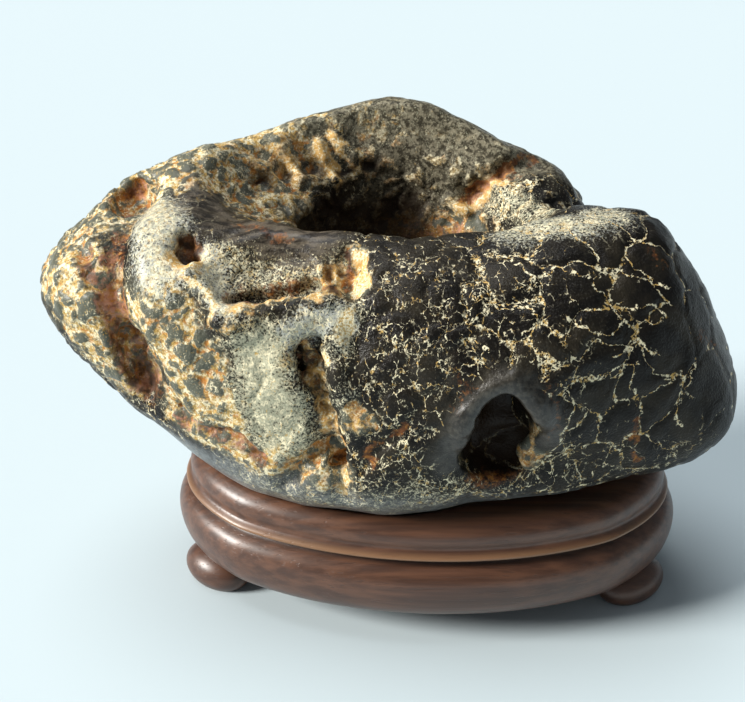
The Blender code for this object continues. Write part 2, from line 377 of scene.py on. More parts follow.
# %% [markdown]
# Deep marks are cut first.  The last number of each is how crisp its edge is:
# below 1 the wall drops at once, as in a crack, and above 1 it slopes, as in a
# worn valley.  A negative depth raises a ridge.  A new skin afterwards gives the
# cut walls as fine a mesh as the rest.

# %% Cutting the deep marks
CUTS = dict(
    fissure_mouth=(1.5, 2.2, 0.6), fissure_nicks=(0.9, 1.2, 0.6), fissure_wall=(4.0, -1.2, 1.5),
    small_hole=(1.5, 2.4, 0.6), gold_split=(1.5, 1.2, 0.8), gold_hang=(1.3, 1.1, 0.8),
    red_crack=(1.2, 0.9, 0.8), corner=(2.6, -0.8, 1.2), ledge=(2.3, -1.3, 1.0),
    ledge_pits=(1.6, 2.3, 0.6), chip_edge=(1.2, -0.8, 1.0), chip_face=(7.0, 1.0, 1.2),
    notch_line=(0.8, 0.9, 0.9), notch_slot=(0.8, 0.9, 0.9), boss_pit=(1.15, 2.4, 0.6),
    gully_head=(3.4, 2.2, 0.8), gully_top=(2.7, 1.3, 1.2), gully_mid=(3.1, 1.6, 1.2),
    gully_pit=(2.9, 2.4, 0.7), flank_pit=(2.0, 1.8, 0.7), low_pits=(1.8, 1.3, 0.8),
    far_pit=(2.2, 1.6, 0.8), cave_lip=(2.6, -0.8, 1.2), back_notch=(1.3, 0.8, 0.8),
    flute_gaps=(1.6, 0.9, 1.0), notch_gold=(2.2, -1.2, 1.2), rust_streak=(1.0, 0.4, 1.0),
    flute_one=(1.6, -1.5, 1.0), flute_two=(1.7, -1.6, 1.0), flute_three=(1.5, -1.4, 1.0),
    flute_four=(1.5, -1.3, 1.0), flute_five=(1.2, -0.8, 1.0),
)

skin = points_of(stone)
ragged = strayed(strayed(skin, 4.0, 1.3, 31.0), 1.7, 0.5, 37.0)
depth = np.zeros(len(skin))
for mark, (reach, deepest, crisp) in CUTS.items():
    depth += deepest * along(ragged, mark, reach) ** crisp
press(stone, depth)
lay_skin(stone)
smooth(stone, rounds=1)
print("cut", len(CUTS), "marks; stone:", len(stone.data.vertices), "points")

# %% [markdown]
# Now the zones.  The left half is crusted with gold nodules, the right half is
# dark and smooth with a few long veins, the front between them is full of fine
# cream flecks, and the underside was rubbed smooth.  A zone is one number for each
# point, from 0 to about 1.  The first zones are given by their place on the stone,
# as far as a soft noise leads it astray.

# %% Zones by place
skin = points_of(stone)
side, back, height = skin.T
x, y, z = strayed(skin, 7.0, 2.5, 1.0).T
wide_side, _, wide_height = strayed(skin, 17.0, 16.0, 91.0).T
ragged = strayed(skin, 3.0, 1.4, 5.0)


def painted(**spots):
    """A zone along marks, each with its reach in millimetres and its strength."""
    zone = np.zeros(len(skin))
    for mark, (reach, strength) in spots.items():
        zone = np.maximum(zone, strength * along(ragged, mark, reach))
    return zone


hollow = ramp(height, 30, 36) * ramp(back, -1, 5)
basin = fall(np.hypot((x + 5) / 33, (y - 7) / 18), 0.86, 1.0) * fall(z, 71, 77) * hollow
# Painted shade over the deep middle of the basin.
deep = fall(np.hypot((x + 10) / 19, (y - 6) / 17), 0.85, 1.15) * fall(z, 62, 70)
deep *= ramp(height, 30, 36)
from_cave = np.sqrt(((x - 10.5) / 6.6) ** 2 + ((y + 22) / 7.0) ** 2 + ((height - 43) / 10.5) ** 2)
# Painted shade inside the cave, kept off its gold wall, its peak and its floor.
inside = fall(from_cave, 0.9, 1.05)
inside *= 1 - painted(cave_gold=(3.4, 0.65), cave_peak=(2.2, 0.8), cave_floor=(3, 0.8))
deep = np.maximum(deep, inside)
behind = ramp(back, 14, 22)
drift = fall(wide_side + 14 * lumps(skin, 7.0, 95.0), -44, 12)
left = fall(x, -26, -12) * (1 - behind) + drift * behind
far_right = ramp(x, 33, 42)
rubbed = fall(height + 0.12 * side, 29, 35)
smoothed = ramp(back, 10, 18) * ramp(height, 66, 74)
print("basin %.2f, rubbed %.2f of the skin" % (basin.mean(), rubbed.mean()))

# %% [markdown]
# The others are painted along the marks: silver where the stone was polished,
# partly a painted sheen; gold crust and rust, pale specks and flecks, bright edges
# that are partly painted highlights, warm gold, rough crags, and the painted shade
# of narrow holes.  The worn back is mottled, and a net of veins covers what is left.

# %% Zones along the marks
# Pale polished stone on the boss, edges and chip, partly a painted sheen of the window.
polish_and_sheen = painted(
    boss=(7.5, 1), corner=(2.4, 0.8), step=(4.0, 1.1), chip_edge=(2.0, 0.6), chip_silver=(4.5, 0.9),
    right_top=(7, 0.65),
)
polished = painted(
    rim_slope=(8, 0.7), cave_lip=(4.5, 1), near_rim=(3, 0.2),
)
sloped = painted(rim_slope=(8, 1))
crusted = left * ramp(y, -12, 4) * 0.92
crusted = np.maximum(crusted, painted(
    flank=(9, 1), far_lobe=(10, 1), low_left=(7, 1), under_pit=(3.0, 1), gold_patch=(3.0, 1),
    ledge=(2.4, 1), gold_split=(2.6, 0.9), gold_hang=(2.6, 0.8), notch_side=(3.0, 1),
    notch_gold=(2.4, 1), flute_one=(2, 1), flute_two=(2, 1), flute_three=(2, 1), flute_four=(2, 1),
    deep_gold=(6, 1), right_top=(2.4, 0.5), fissure_wall=(2.2, 0.8), fissure=(2.2, 0.9),
    rim_notch=(3.4, 1), boss_gold=(2.4, 1), cave_gold=(3.0, 0.8),
))
crusted *= (
    (1 - 0.9 * polished) * (1 - 0.6 * polish_and_sheen) * (1 - 0.8 * rubbed)
    * (1 - 0.7 * painted(facet=(7, 1)))
)
rust = painted(
    gully_head=(4.0, 1), gully_top=(2.8, 0.8), gully_mid=(3.9, 1), gully_pit=(4.6, 1),
    flank_pit=(3.6, 0.8), low_pits=(2.8, 0.8), boss_floor=(2.9, 1), fissure=(2.4, 0.45),
    notch_line=(1.2, 0.9), notch_slot=(1.0, 0.9), ledge_pits=(3.4, 0.8), rim_streak=(2.4, 0.6),
    red_crack=(1.3, 0.9), cave_floor=(3.2, 0.8), rust_streak=(1.2, 0.8), stain_one=(2.2, 0.42),
    stain_two=(2.2, 0.45), stain_three=(2.4, 0.45), stain_four=(2.2, 0.38),
    fissure_mouth=(4.0, 0.6), back_notch=(2.0, 1), far_pit=(2.4, 0.8), deep_gold=(3.0, 0.6),
    cave_foot=(2.0, 0.6),
)
flecked = (
    (0.82 + 0.22 * fall(z, 38, 50)) * (1 - ramp(x, 8, 44) * (0.45 + 0.55 * ramp(z, 38, 50)))
    * (1 - 0.5 * rubbed) * (1 - 0.4 * polish_and_sheen) * (1 - 0.30 * behind)
)
flecked = np.maximum(flecked, painted(
    right_top=(5, 0.8), wall_right=(7, 0.9), wall_lumps=(6, 0.7), honeycomb=(5, 0.9),
))
flecked *= (1 - 0.8 * polished) * (1 - inside)
speckled = painted(
    facet=(9, 1), honeycomb=(10, 0.56), chip_face=(9, 0.74), step=(5, 0.75), corner=(4, 0.7),
    right_top=(6.5, 0.72), wall_right=(7, 0.7), flank=(7, 0.4), boss=(9, 0.75),
    chip_silver=(5, 0.8),
)
speckled = np.maximum(speckled, 0.50 * ramp(back, 6, 12) * ramp(wide_height, 46, 74))
speckled *= (1 - 0.6 * painted(rim_slope=(7, 1))) * (1 - inside)
# Pale mineral on edges that stand out, partly painted highlights.
edge_mineral_and_highlight = painted(
    chip_edge=(1.0, 1.1), ledge=(2.4, 0.9), corner=(1.8, 0.95), step=(1.8, 0.6),
    fissure=(1.9, 0.85), notch_gold=(2.2, 1), notch_side=(2.2, 1), notch_rib=(1.1, 0.8),
    boss=(6.5, 0.50), boss_gold=(2.6, 1.15), flute_one=(2.0, 1), flute_two=(2.1, 1.1),
    flute_three=(2.0, 1.1), flute_four=(1.9, 1), flute_five=(1.6, 0.9), right_top=(4, 0.4),
    fissure_wall=(1.8, 0.9), gold_split=(1.6, 0.8), gold_hang=(1.6, 0.8),
)
golden = painted(
    flute_one=(2.6, 0.8), flute_two=(2.8, 0.9), flute_three=(2.8, 1), flute_four=(2.6, 1),
    rim_notch=(4.2, 1), notch_gold=(2.6, 0.9), deep_gold=(7, 1), cave_gold=(3.4, 0.9),
    cave_peak=(2.2, 0.8), ledge=(2.8, 1), fissure=(2.6, 1), chip_face=(7, 0.6),
    boss_gold=(3.0, 1.1), gold_split=(2.4, 0.8), gold_hang=(2.4, 0.8), gold_patch=(3.0, 0.8),
    boss_floor=(3.4, 0.7), fissure_mouth=(4.5, 0.9),
)
craggy = painted(
    fissure=(2.8, 1), fissure_mouth=(4.0, 1), rim_notch=(4.5, 1), ledge=(3.4, 1),
    gold_split=(3, 0.8), gold_hang=(3, 0.8), low_pits=(4, 0.8), boss_floor=(2.8, 1),
    gully_pit=(5.5, 1), gully_head=(4.5, 0.8), wall_right=(6, 0.6), deep_gold=(6, 0.6),
    cave_gold=(3, 0.6), ledge_pits=(2.6, 0.9), flute_gaps=(4, 0.5), chip_face=(8, 0.8),
    step=(3, 0.6),
)
shaded = painted(
    gully_pit=(4.4, 1.1), boss_floor=(2.4, 1.3), ledge_pits=(2.0, 1), fissure_mouth=(3.0, 1),
    fissure=(2.2, 0.8), notch_slot=(1.3, 1.6), notch_line=(1.3, 1.6), gully_head=(2.6, 0.8),
    low_pits=(2.0, 0.8), gold_split=(1.3, 0.6), far_pit=(1.6, 0.8), flute_gaps=(2.8, 1),
)
# More painted shade in the narrow holes, broken up by noise.
deep = np.maximum(deep, shaded * ramp(lumps(skin, 1.5, 9.0), -0.2, 0.08))
mottled = (
    ramp(back, 10, 18) * ramp(wide_height, 44 + 20 * (1 - behind), 76)
    * (1 - 0.7 * left) * (1 - golden)
)
netted = (
    np.maximum(ramp(x, -4, 10), ramp(back, -8, 0))
    * (1 - 0.55 * far_right) * (1 - polished) * (1 - 0.8 * mottled)
)
netted *= 1 - painted(chip_face=(9, 1), facet=(9, 1), boss=(9, 1), step=(5, 1))
print("crusted %.2f, flecked %.2f of the skin" % (crusted.mean(), flecked.mean()))

# %% [markdown]
# The dark half of the stone is made of low, rounded lumps that press against each
# other.  Those on the front have their own places, each with the radius that it
# swells to, and the rest of the skin is filled with lumps of a middling size.

# %% Rounded lumps
LUMPS = (
    (10.5, -24.7, 63.1, 3.6), (11.7, -19.3, 67.8, 3.0), (19.7, -20.9, 65.7, 4.4),
    (7.9, -27.5, 59.2, 2.4), (12.5, -27.5, 59.2, 2.5), (0.8, -26.7, 61.3, 1.9),
    (-4.2, -22.2, 66.4, 2.5), (3.2, -17.4, 68.7, 2.4), (14.6, -29.9, 50.5, 2.3),
    (31.2, -17.4, 64.5, 3.6), (36.5, -19.8, 57.0, 4.2), (32.5, -23.5, 53.1, 3.2),
    (44.3, -18.5, 47.8, 4.8), (23.7, -24.4, 60.7, 2.3), (24.7, -25.7, 56.9, 2.2),
    (18.4, -29.2, 48.8, 2.7), (24.1, -26.6, 52.3, 2.6), (42.1, -15.0, 56.3, 3.4),
    (34.9, -12.9, 66.7, 2.8), (27.0, -12.3, 69.8, 3.2), (18.9, -14.6, 70.0, 3.2),
    (10.5, -14.3, 69.9, 2.6), (39.0, -22.2, 43.1, 3.1), (28.7, -25.3, 45.1, 2.4),
    (23.0, -26.9, 45.3, 2.2), (34.3, -23.5, 46.8, 2.0), (26.6, -23.6, 37.3, 2.6),
    (35.0, -22.4, 36.5, 2.6), (41.9, -20.6, 36.2, 2.2), (20.4, -23.7, 35.4, 2.2),
    (46.8, -11.6, 51.6, 2.9), (-2.0, -25.8, 62.3, 1.7), (-6.4, -25.3, 62.0, 2.0),
    (-8.6, -22.4, 65.5, 1.8), (5.5, -22.8, 65.7, 2.0), (1.8, -23.0, 65.8, 1.9),
    (-1.2, -28.1, 55.9, 1.9), (-5.6, -27.4, 56.3, 2.0), (4.8, -28.8, 54.6, 1.9),
    (-9.8, -25.6, 58.8, 2.2), (0.4, -28.9, 50.2, 2.2), (-5.6, -28.9, 50.2, 2.2),
    (-10.9, -27.5, 52.9, 2.2), (15.8, -26.8, 60.3, 1.9), (18.1, -28.4, 56.1, 2.2),
    (-0.9, -28.9, 42.9, 2.2), (-7.8, -29.0, 43.0, 2.2),
)
FILL_RADIUS = 2.4
FILL_APART = 6.0
TRIES = 4000

middles = [np.array(lump[:3]) for lump in LUMPS]
swells = [lump[3] for lump in LUMPS]
picker = np.random.default_rng(7)
for point in skin[picker.integers(0, len(skin), TRIES)]:
    if np.linalg.norm(np.array(middles) - point, axis=1).min() > FILL_APART:
        middles.append(point)
        swells.append(FILL_RADIUS)
middles = np.array(middles)
swells = np.array(swells)
wandering = strayed(strayed(skin, 6.0, 3.0, 71.0), 2.0, 1.0, 73.0)
away = (wandering ** 2).sum(axis=1)[:, None] - 2 * wandering @ middles.T
away = away + (middles ** 2).sum(axis=1) - swells ** 2
first, second, third = np.argsort(away, axis=1)[:, :3].T
rows = np.arange(len(away))


def border_with(other):
    """How many millimetres each point is from its lump's border with another."""
    apart = np.linalg.norm(middles[other] - middles[first], axis=1)
    return (away[rows, other] - away[rows, first]) / (2 * apart)


furrow = border_with(second)
meeting = fall(border_with(third), 0.1, 1.5)
furrow_side = np.where(first < second, 1, -1)
print(len(middles), "lumps")

# %% [markdown]
# The shallow wear follows the zones: domed nodules where the crust is, broad domes
# on the dark half, knobs on the basin's back wall, and a fine grain between them.
# The underside was rubbed smooth.

# %% Wearing the skin
nodule_gap = borders(strayed(skin, 2.6, 1.5, 41.0), 3.5, 4.0)
knob = ramp(borders(strayed(skin, 4.0, 2.4, 53.0), 4.0, 6.0), 0.0, 1.1)
even = 1 - np.maximum(0.85 * polish_and_sheen, 0.7 * polished)
bare = (1 - crusted) * (1 - basin) * even

depth = crusted * (1 - basin) * even * (0.32 - 0.54 * ramp(nodule_gap, 0.0, 1.0))
depth += basin * (0.32 - 0.62 * knob) * ramp(height, 56, 64)
depth += bare * (0.27 - 0.42 * ramp(furrow, 0.0, 1.5)) * (1 - 0.6 * far_right)
depth += 0.25 * lumps(skin, 4.5, 3.0) * (0.3 + 0.7 * crusted)
depth += 0.18 * lumps(skin, 2.2, 5.0) * (0.3 + 0.7 * crusted) * even
depth += 0.12 * lumps(skin, 1.3, 8.0) * (0.5 + 0.5 * np.maximum(crusted, speckled)) * even
depth += 0.42 * lumps(skin, 1.9, 9.0) * craggy
depth += 0.16 * lumps(skin * (0.4, 1.0, 1.0), 1.3, 12.0) * sloped
depth *= 1 - 0.6 * smoothed
depth *= 1 - rubbed
press(stone, depth)
print("deepest press %.2f mm, highest swell %.2f mm" % (depth.max(), -depth.min()))

# %% [markdown]
# Veins are drawn like pencil lines on the front view, each point given by its
# distance along the stone and its height, and thrown onto the surface.

# %% Veins on the dark side
VEINS = (
    ((7.5, 65.5), (9, 64.5), (11.5, 64.5), (14, 64.5), (15, 63.5), (14, 62.5), (12.5, 61.5)),
    ((15, 67.5), (18, 68.5), (20.5, 68), (23, 67.5), (24, 66), (26, 64), (27, 63), (28, 62), (30, 60),
     (30.5, 58.5), (34, 56)),
    ((28, 63), (32, 62.5), (33.5, 62.5), (35.5, 60.5), (32.5, 60.5)),
    ((19.5, 63), (21, 62), (23.5, 61), (26, 60.5), (28, 61)),
    ((30.5, 58.5), (28.5, 57.5), (27, 57)),
    ((20.5, 55), (24.5, 53.5), (27, 55), (30.5, 55.5), (29.5, 52), (31.5, 49)),
    ((41, 52), (39, 49.5), (38, 46), (39, 43)),
    ((18, 38.5), (19.5, 43.5), (20, 47), (21, 50.5), (18.5, 54.5)),
    ((7, 60), (4.5, 61), (5, 63), (7, 64.5)),
    ((8, 69.5), (12, 69), (15, 67.5), (14, 66.5)),
    ((23, 67.5), (28, 67), (32, 65.5), (36, 64)),
)
PENCIL_STEP = 0.3

surface = BVHTree.FromPolygons(
    [Vector(p) for p in points_of(stone)],
    [tuple(face.vertices) for face in stone.data.polygons],
)


def draw(line):
    """The points where a pencil line on the front view lands on the stone."""
    landed = []
    for (a, b), (c, d) in zip(line[:-1], line[1:]):
        steps = max(1, round(math.hypot(c - a, d - b) / PENCIL_STEP))
        across = Vector((b - d, 0.0, c - a)).normalized()
        for step_number in range(steps + 1):
            share = step_number / steps
            origin = Vector((a + (c - a) * share, -90.0, b + (d - b) * share))
            hit = surface.ray_cast(origin, Vector((0.0, 1.0, 0.0)))[0]
            if hit is not None:
                landed.append((hit, across))
    return landed


drawn = [point for line in VEINS for point in draw(line)]
vein_tree = kdtree.KDTree(len(drawn))
for number, (point, across) in enumerate(drawn):
    vein_tree.insert(point, number)
vein_tree.balance()
vein = np.empty(len(skin))
vein_side = np.empty(len(skin))
for number, point in enumerate(strayed(points_of(stone), 1.5, 0.6, 61.0)):
    nearest, which, vein[number] = vein_tree.find(Vector(point))
    vein_side[number] = 1 if (Vector(point) - nearest).dot(drawn[which][1]) > 0 else -1
print(len(drawn), "points on the veins")

# %% [markdown]
# The finish needs to know about the zones too, so each one is written on the
# stone as an attribute, a number for each point that a material can read.

# %% Writing the zones on the stone
def write(piece, name, values):
    layer = piece.data.attributes.new(name, "FLOAT", "POINT")
    layer.data.foreach_set("value", np.clip(values, 0, 1).astype(np.float32))


def hollowness(piece, rounds):
    """How far each point lies below its smoothed surroundings, in millimetres."""
    twin = piece.copy()
    twin.data = piece.data.copy()
    bpy.context.scene.collection.objects.link(twin)
    smooth(twin, rounds)
    below = ((points_of(twin) - points_of(piece)) * normals_of(piece)).sum(axis=1)
    bpy.data.objects.remove(twin)
    return below


LINE_REACH = 2.0

dents = hollowness(stone, rounds=25)
ZONES = dict(
    crusted=crusted, basin=basin, deep=deep, rubbed=rubbed, rust=rust, sloped=sloped,
    flecked=flecked, speckled=speckled, polish_and_sheen=polish_and_sheen, polished=polished, knob=knob,
    edge_mineral_and_highlight=edge_mineral_and_highlight, golden=golden, mottled=mottled, netted=netted, meeting=meeting,
    dents=0.5 + dents / 1.2,
    nodule_gap=nodule_gap / LINE_REACH,
    furrow_gap=furrow / LINE_REACH,
    furrow_line=0.5 + 0.5 * furrow * furrow_side / LINE_REACH,
    vein_gap=vein / LINE_REACH,
    vein_line=0.5 + 0.5 * vein * vein_side / LINE_REACH,
)
for name, values in ZONES.items():
    write(stone, name, values)
stone.data.shade_smooth()
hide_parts("rock")
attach(stone, "root")
print("dents from %.2f to %.2f mm" % (dents.min(), dents.max()))
print("stone's triangles:", sum(len(face.vertices) - 2 for face in stone.data.polygons))

# %% [markdown]
# ## The carved stand
#
# The stand is one block of hardwood.  Its side is a run of mouldings, and a
# carver scrapes them one after another round the oval.  The same is done here:
# a circle is drawn out to an oval, and its edge is extruded up and drawn in or
# out for each line of the moulding, from the underside to the seat's rim.

# %% Oval body, one moulding line after another
STAND_LENGTH = 92.0
STAND_DEPTH = 55.0
MOULDING = (
    (6.0, 5.6), (3.4, 5.6), (1.9, 6.3), (0.7, 8.2), (0.15, 10.6), (0.0, 12.8), (0.5, 14.6), (1.5, 15.9),
    (2.9, 16.6), (3.4, 17.1), (2.9, 17.5), (1.8, 17.9), (1.7, 18.5), (2.5, 19.0), (3.1, 19.6),
    (2.7, 20.8), (2.9, 22.2), (3.8, 23.4), (5.2, 24.2), (7.0, 24.6),
)
SQUARENESS = 0.06
STAND_TURN = -3.0


def half_sides(inset):
    """Half the oval's length and depth, this far in from its widest line."""
    return (STAND_LENGTH / 2 - inset) * MM, (STAND_DEPTH / 2 - inset) * MM


bpy.ops.object.select_all(action="DESELECT")
bpy.ops.mesh.primitive_circle_add(
    vertices=96, radius=1.0, fill_type="NGON", location=place(0, 0, MOULDING[0][1])
)
stand = bpy.context.object
stand.name = "carved_stand"
square = stand.modifiers.new("a little square", "CAST")
square.cast_type = "CUBOID"
square.factor = SQUARENESS
square.use_z = False
settle(stand)
bpy.ops.object.mode_set(mode="EDIT")
bpy.ops.mesh.select_all(action="SELECT")
centre = place(0, 0, 0)
reach = half_sides(MOULDING[0][0])
bpy.ops.transform.resize(value=(reach[0], reach[1], 1.0), center_override=centre)
for (_, lower), (inset, upper) in zip(MOULDING[:-1], MOULDING[1:]):
    wanted = half_sides(inset)
    rise = (upper - lower) * MM
    bpy.ops.mesh.extrude_region_move(TRANSFORM_OT_translate={"value": (0, 0, rise)})
    bpy.ops.transform.resize(
        value=(wanted[0] / reach[0], wanted[1] / reach[1], 1.0), center_override=centre
    )
    reach = wanted
bpy.ops.mesh.select_all(action="SELECT")
bpy.ops.mesh.normals_make_consistent(inside=False)
bpy.ops.object.mode_set(mode="OBJECT")
round_off = stand.modifiers.new("round off", "SUBSURF")
round_off.levels = 2
round_off.render_levels = 2
settle(stand)
print("stand:", [round(side / MM, 1) for side in stand.dimensions], "mm")

# %% [markdown]
# Each foot is a rounded lug that looks out from the corner of the oval.  It is a
# ball drawn out to a lug, turned to face the corner, and cut flat where it meets
# the table; then it is joined to the body.

# %% Four lug feet
FOOT_AT = (37.9, 9.8)
FOOT_RADII = (7.0, 4.8, 4.1)
FOOT_CENTRE_HEIGHT = 2.4
FOOT_TURN = 37.0

for side_x in (-1, 1):
    for side_y in (-1, 1):
        foot_middle = (side_x * FOOT_AT[0], side_y * FOOT_AT[1], FOOT_CENTRE_HEIGHT)
        foot = new_ball(foot_middle, 48, 24)
        foot.scale = Vector(FOOT_RADII) * MM
        foot.rotation_euler.z = math.radians(-side_x * side_y * FOOT_TURN)
        bpy.ops.object.transform_apply(location=True, rotation=True, scale=True)
        bpy.ops.object.mode_set(mode="EDIT")
        bpy.ops.mesh.select_all(action="SELECT")
        bpy.ops.mesh.bisect(plane_co=(0, 0, 0), plane_no=(0, 0, -1), use_fill=True, clear_outer=True)
        bpy.ops.object.mode_set(mode="OBJECT")
        combine(stand, "UNION", foot)
stand.rotation_euler.z = math.radians(STAND_TURN)
pick(stand)
bpy.ops.object.transform_apply(location=True, rotation=True, scale=True)
print("stand with feet:", len(stand.data.polygons), "faces")

# %% [markdown]
# The seat is cut with the stone itself, a hair larger, so the wood follows the
# stone's underside and never touches it.

# %% Cutting the seat
SEAT_GAP = 0.25

seat = copy_of("rock", "seat_cutter")
grown = seat.modifiers.new("grown", "DISPLACE")
grown.strength = SEAT_GAP * MM
grown.mid_level = 0.0
settle(seat)
combine(stand, "DIFFERENCE", seat)
stand.data.materials.clear()
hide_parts("stand")
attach(stand, "root")
print("seat cut:", len(stand.data.polygons), "faces")

# %% [markdown]
# ## Finishes
#
# A finish is built from nodes.  Small helpers keep the cells short: one adds a
# node and joins its inputs, one turns a value softly on and off, one lays one
# colour over another, and the rest are plain sums.  Each works on `tree`, which is
# the finish in the making.

# %% Node helpers
def fill(node, inputs):
    """Set a node's inputs, or join them to what feeds them."""
    for name, value in inputs.items():
        if isinstance(value, bpy.types.NodeSocket):
            tree.links.new(value, node.inputs[name])
        else:
            node.inputs[name].default_value = value


def add(kind, inputs={}, **settings):
    """Add a shader node, set it, and fill its inputs."""
    node = tree.nodes.new("ShaderNode" + kind)
    for name, value in settings.items():
        setattr(node, name, value)
    fill(node, inputs)
    return node


def step(value, start, end, low=0.0, high=1.0):
    """A soft step of a value, from low at start to high at end."""
    steps = {0: value, 1: start, 2: end, 3: low, 4: high}
    return add("MapRange", steps, interpolation_type="SMOOTHSTEP").outputs[0]


def sum_of(operation, first, second):
    return add("Math", {0: first, 1: second}, operation=operation).outputs[0]


def lay(factor, under, over):
    """Lay one colour over another where the factor is high."""
    return add("Mix", {0: factor, 6: under, 7: over}, data_type="RGBA").outputs[2]


def times(first, second):
    return sum_of("MULTIPLY", first, second)


def larger(first, second):
    return sum_of("MAXIMUM", first, second)


def less(first, second):
    return sum_of("SUBTRACT", first, second)


def from_level(value, level):
    """How far a value is from a level, above or below it."""
    return sum_of("ABSOLUTE", less(value, level), 0.0)


def stretched(spot, shares):
    """Coordinates in which what is drawn comes out longer or shorter."""
    return add("VectorMath", {0: spot, 1: shares}, operation="MULTIPLY").outputs[0]


def cloud(spot, size, detail, roughness=0.6):
    """Soft noise with lumps of a size in millimetres."""
    return add("TexNoise", {
        "Vector": spot, "Scale": 1.0 / size, "Detail": detail, "Roughness": roughness,
    }).outputs


def read(name):
    return add("Attribute", attribute_name=name).outputs["Fac"]


def in_millimetres():
    """The piece's own coordinates, in millimetres."""
    own = add("TexCoord").outputs["Object"]
    return add("VectorMath", {0: own, 3: 1.0 / MM}, operation="SCALE").outputs[0]


def new_finish(name):
    finish = bpy.data.materials.new(name)
    finish.use_nodes = True
    return finish, finish.node_tree, finish.node_tree.nodes["Principled BSDF"]


# %% [markdown]
# The mineral lace is the stone's mark: thin pale lines between rounded cells,
# now wide, now broken.  One node group makes it, and it is used at three sizes:
# a net, flecks and the smallest specks.

# %% Node group: mineral lace
def socket(name, kind, value=None, side="INPUT"):
    made = tree.interface.new_socket(name, in_out=side, socket_type=kind)
    if value is not None:
        made.default_value = value


tree = lace = bpy.data.node_groups.new("mineral_lace", "ShaderNodeTree")
socket("Where", "NodeSocketVector")
for name, value in (("Cell", 3.0), ("Width", 0.3), ("Wander", 1.0), ("Broken", 0.5)):
    socket(name, "NodeSocketFloat", value)
socket("Line", "NodeSocketFloat", side="OUTPUT")
enter = tree.nodes.new("NodeGroupInput").outputs
leave = tree.nodes.new("NodeGroupOutput").inputs
scale = sum_of("DIVIDE", 1.0, enter["Cell"])
drift = add("TexNoise", {
    "Vector": enter["Where"], "Scale": times(scale, 1.3), "Detail": 2.5, "Roughness": 0.6,
}).outputs["Color"]
chance = add("SeparateColor", {0: drift}).outputs
drift = add("VectorMath", {0: drift, 1: (0.5, 0.5, 0.5)}, operation="SUBTRACT").outputs[0]
drift = add("VectorMath", {0: drift, 3: enter["Wander"]}, operation="SCALE").outputs[0]
path = add("VectorMath", {0: enter["Where"], 1: drift}, operation="ADD").outputs[0]
edge = add("TexVoronoi", {"Vector": path, "Scale": scale}, feature="DISTANCE_TO_EDGE")
gap = times(edge.outputs["Distance"], enter["Cell"])
thick = step(chance[0], 0.35, 0.68, 0.2, 1.7)
share = sum_of("DIVIDE", gap, times(enter["Width"], thick))
line = step(share, 0.3, 1.0, 1.0, 0.0)
kept = step(less(chance[2], enter["Broken"]), -0.05, 0.06)
tree.links.new(times(line, kept), leave["Line"])
print("node group:", lace.name, "with", len(lace.nodes), "nodes")


def lace_over(where, **settings):
    """The lace at one size: its cell and width in millimetres, wander, and gaps."""
    return add("Group", {"Where": where, **settings}, node_tree=lace).outputs["Line"]


# %% [markdown]
# ### The stone's finish
#
# These are the stone's minerals, and the ways in which one is laid over another:
# with an edge that noise has frayed, or as a thin line.

# %% Stone finish: minerals and brushes
stone_finish, tree, shader = new_finish("polished_dark_stone")
where = in_millimetres()
zones = {name: read(name) for name in ZONES}

BLACK = (0.007, 0.006, 0.005, 1.0)
OLIVE = (0.022, 0.018, 0.012, 1.0)
GREY = (0.085, 0.078, 0.062, 1.0)
MOSS = (0.105, 0.108, 0.080, 1.0)
# Pale polished stone, partly a painted sheen.
SILVER_POLISH_AND_SHEEN = (0.42, 0.43, 0.39, 1.0)
SAGE = (0.46, 0.45, 0.32, 1.0)
GOLD = (0.53, 0.345, 0.11, 1.0)
OCHRE = (0.42, 0.17, 0.035, 1.0)
CREAM = (0.84, 0.76, 0.52, 1.0)
ROSE = (0.52, 0.25, 0.16, 1.0)
BRICK = (0.20, 0.080, 0.030, 1.0)
RUST = (0.13, 0.042, 0.014, 1.0)
# A near-black brown, used only for painted shade.
PAINTED_SHADE_UMBER = (0.020, 0.011, 0.006, 1.0)
# Slate grey, partly a painted reflection of the pale table.
SLATE_AND_REFLECTION = (0.155, 0.165, 0.165, 1.0)
LICHEN = (0.42, 0.41, 0.29, 1.0)
AMBER = (0.62, 0.36, 0.10, 1.0)
SLOPE_DARK = (0.022, 0.016, 0.011, 1.0)
SLOPE_PALE = (0.13, 0.105, 0.075, 1.0)
WORN_DARK = (0.055, 0.047, 0.030, 1.0)
WORN_PALE = (0.27, 0.24, 0.165, 1.0)


def clouds(size, detail=3.0, spot=where):
    """Three separate soft noises at one size, for the price of one."""
    return add("SeparateColor", {0: cloud(spot, size, detail)["Color"]}).outputs


def frayed(zone, noise_here, fray, at, soft):
    """A zone whose edge is frayed by noise."""
    mixed = sum_of("ADD", zone, times(less(noise_here, 0.5), fray))
    return step(mixed, at - soft, at + soft)


def fine_line(line, gap, half_width, wiggle):
    """A thin line where a side-to-side distance crosses its middle."""
    off = times(less(line, 0.5), 2 * LINE_REACH)
    off = sum_of("ADD", off, times(less(wiggle, 0.5), 1.1))
    off = sum_of("ABSOLUTE", off, 0.0)
    on = step(sum_of("DIVIDE", off, half_width), 0.5, 1.2, 1.0, 0.0)
    return times(on, step(gap, 0.30, 0.42, 1.0, 0.0))


broad = clouds(6.0)
middling = clouds(2.2)
fine = clouds(0.9)
dust = clouds(0.40, 2.0)
print(len(zones), "zones read")
